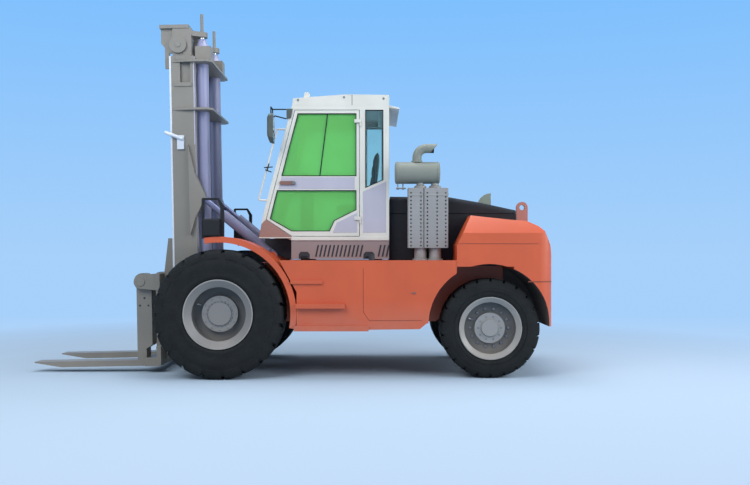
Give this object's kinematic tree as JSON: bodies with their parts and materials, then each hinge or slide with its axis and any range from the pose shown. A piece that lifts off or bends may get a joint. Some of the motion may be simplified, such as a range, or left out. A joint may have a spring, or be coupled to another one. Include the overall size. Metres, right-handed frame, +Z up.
{
  "type": "rough terrain forklift",
  "caption": "Rough terrain forklift with a tilting two-stage mast, lifting forks, a glazed cab, a heavy rounded tail, driven front wheels and steered rear wheels.",
  "frame": {"origin": "centre of the bounding box on the ground under the truck", "axes": "-X forwards towards the forks, -Y the truck's left (the door side), +Z up"},
  "size_m": [6.196, 2.45, 4.397],
  "materials": {
    "orange_paint": "satin",
    "grey_paint": "satin",
    "lilac_paint": "satin",
    "white_paint": "gloss",
    "black_paint": "satin",
    "muffler_paint": "matt",
    "shield_steel": "matt",
    "skirt_paint": "satin",
    "rim_paint": "satin",
    "tyre_rubber": "matt",
    "green_glass": "gloss",
    "rod_chrome": "polished",
    "chain_steel": "oiled",
    "axle_iron": "matt",
    "black_plastic": "matt",
    "seat_fabric": "matt",
    "lamp_plastic": "gloss"
  },
  "bodies": {
    "chassis": {"chassis_frame": "orange_paint", "side_box_left": "orange_paint", "side_box_right": "orange_paint", "counterweight": "orange_paint", "tail_lamps": "lamp_plastic", "engine_block": "axle_iron", "engine_panels": "black_paint", "front_axle": "axle_iron", "rear_axle": "axle_iron", "muffler": "muffler_paint", "exhaust_shields": "shield_steel", "cab_frame": "white_paint", "cab_glass": "green_glass", "cab_roof": "white_paint", "cab_skirt": "skirt_paint", "seat": "seat_fabric", "steering_column": "black_plastic", "mirrors": "black_plastic", "grab_rails": "white_paint", "headlamps": "black_paint"},
    "wheel_front_left": {"tyre_front_left": "tyre_rubber", "rim_front_left": "rim_paint"},
    "wheel_front_right": {"tyre_front_right": "tyre_rubber", "rim_front_right": "rim_paint"},
    "knuckle_left": {"knuckle_left": "axle_iron"},
    "knuckle_right": {"knuckle_right": "axle_iron"},
    "wheel_rear_left": {"tyre_rear_left": "tyre_rubber", "rim_rear_left": "rim_paint"},
    "wheel_rear_right": {"tyre_rear_right": "tyre_rubber", "rim_rear_right": "rim_paint"},
    "outer_mast": {"outer_mast": "grey_paint", "lift_cylinders": "lilac_paint", "chain_rear": "chain_steel"},
    "inner_mast": {"inner_mast": "grey_paint", "lift_rods": "rod_chrome", "sheaves": "grey_paint"},
    "carriage": {"carriage": "grey_paint", "fork_left": "grey_paint", "fork_right": "grey_paint", "chain_front": "chain_steel"},
    "tilt_barrel_left": {"tilt_barrel_left": "lilac_paint"},
    "tilt_barrel_right": {"tilt_barrel_right": "lilac_paint"},
    "tilt_rod_left": {"tilt_rod_left": "rod_chrome"},
    "tilt_rod_right": {"tilt_rod_right": "rod_chrome"},
    "cab_door": {"cab_door": "white_paint", "door_glass": "green_glass"},
    "hood": {"hood": "black_paint"}
  },
  "joints": [
    {"name": "wheel_front_left_spin", "type": "hinge", "parent": "chassis", "child": "wheel_front_left", "pos_m": [-0.742, -0.965, 0.745], "axis": [0, 1, 0], "continuous": true},
    {"name": "steer_left", "type": "hinge", "parent": "chassis", "child": "knuckle_left", "pos_m": [2.382, -0.775, 0.576], "axis": [0, 0, 1], "range_deg": [-35, 35]},
    {"name": "wheel_rear_left_spin", "type": "hinge", "parent": "knuckle_left", "child": "wheel_rear_left", "pos_m": [2.382, -0.875, 0.576], "axis": [0, 1, 0], "continuous": true},
    {"name": "wheel_front_right_spin", "type": "hinge", "parent": "chassis", "child": "wheel_front_right", "pos_m": [-0.742, 0.965, 0.745], "axis": [0, 1, 0], "continuous": true},
    {"name": "steer_right", "type": "hinge", "parent": "chassis", "child": "knuckle_right", "pos_m": [2.382, 0.775, 0.576], "axis": [0, 0, 1], "range_deg": [-35, 35]},
    {"name": "wheel_rear_right_spin", "type": "hinge", "parent": "knuckle_right", "child": "wheel_rear_right", "pos_m": [2.382, 0.875, 0.576], "axis": [0, 1, 0], "continuous": true},
    {"name": "mast_tilt", "type": "hinge", "parent": "chassis", "child": "outer_mast", "pos_m": [-1, 0, 0.64], "axis": [0, 1, 0], "range_deg": [-4.9, 13.1]},
    {"name": "mast_lift", "type": "slide", "parent": "outer_mast", "child": "inner_mast", "axis": [-0.0192, 0, 0.9998], "range_m": [0, 2.3], "deforming": ["chain_rear"]},
    {"name": "carriage_lift", "type": "slide", "parent": "inner_mast", "child": "carriage", "axis": [-0.0192, 0, 0.9998], "range_m": [0, 2.3], "deforming": ["chain_front"]},
    {"name": "tilt_cylinder_left", "type": "hinge", "parent": "chassis", "child": "tilt_barrel_left", "pos_m": [-0.19, -0.56, 1.415], "axis": [0, 1, 0], "range_deg": [-4.79, 12.55]},
    {"name": "tilt_rod_left", "type": "slide", "parent": "tilt_barrel_left", "child": "tilt_rod_left", "axis": [-0.7699, 0, 0.6382], "range_m": [-0.2572, 0.0975]},
    {"name": "tilt_cylinder_right", "type": "hinge", "parent": "chassis", "child": "tilt_barrel_right", "pos_m": [-0.19, 0.56, 1.415], "axis": [0, 1, 0], "range_deg": [-4.79, 12.55]},
    {"name": "tilt_rod_right", "type": "slide", "parent": "tilt_barrel_right", "child": "tilt_rod_right", "axis": [-0.7699, 0, 0.6382], "range_m": [-0.2572, 0.0975]},
    {"name": "cab_door", "type": "hinge", "parent": "chassis", "child": "cab_door", "pos_m": [0.872, -0.764, 2.4], "axis": [0, 0, 1], "range_deg": [0, 85]},
    {"name": "hood", "type": "hinge", "parent": "chassis", "child": "hood", "pos_m": [2.764, 0, 1.92], "axis": [0, 1, 0], "range_deg": [0, 45]}
  ],
  "couplings": [
    {"joint": "carriage_lift", "follows": "mast_lift", "ratio": 1},
    {"joint": "steer_right", "follows": "steer_left", "ratio": 1},
    {"joint": "tilt_cylinder_left", "follows": "mast_tilt", "ratio": 0.94639},
    {"joint": "tilt_rod_left", "follows": "mast_tilt", "m_per_rad": -1.1163},
    {"joint": "tilt_cylinder_right", "follows": "mast_tilt", "ratio": 0.94639},
    {"joint": "tilt_rod_right", "follows": "mast_tilt", "m_per_rad": -1.1163}
  ]
}
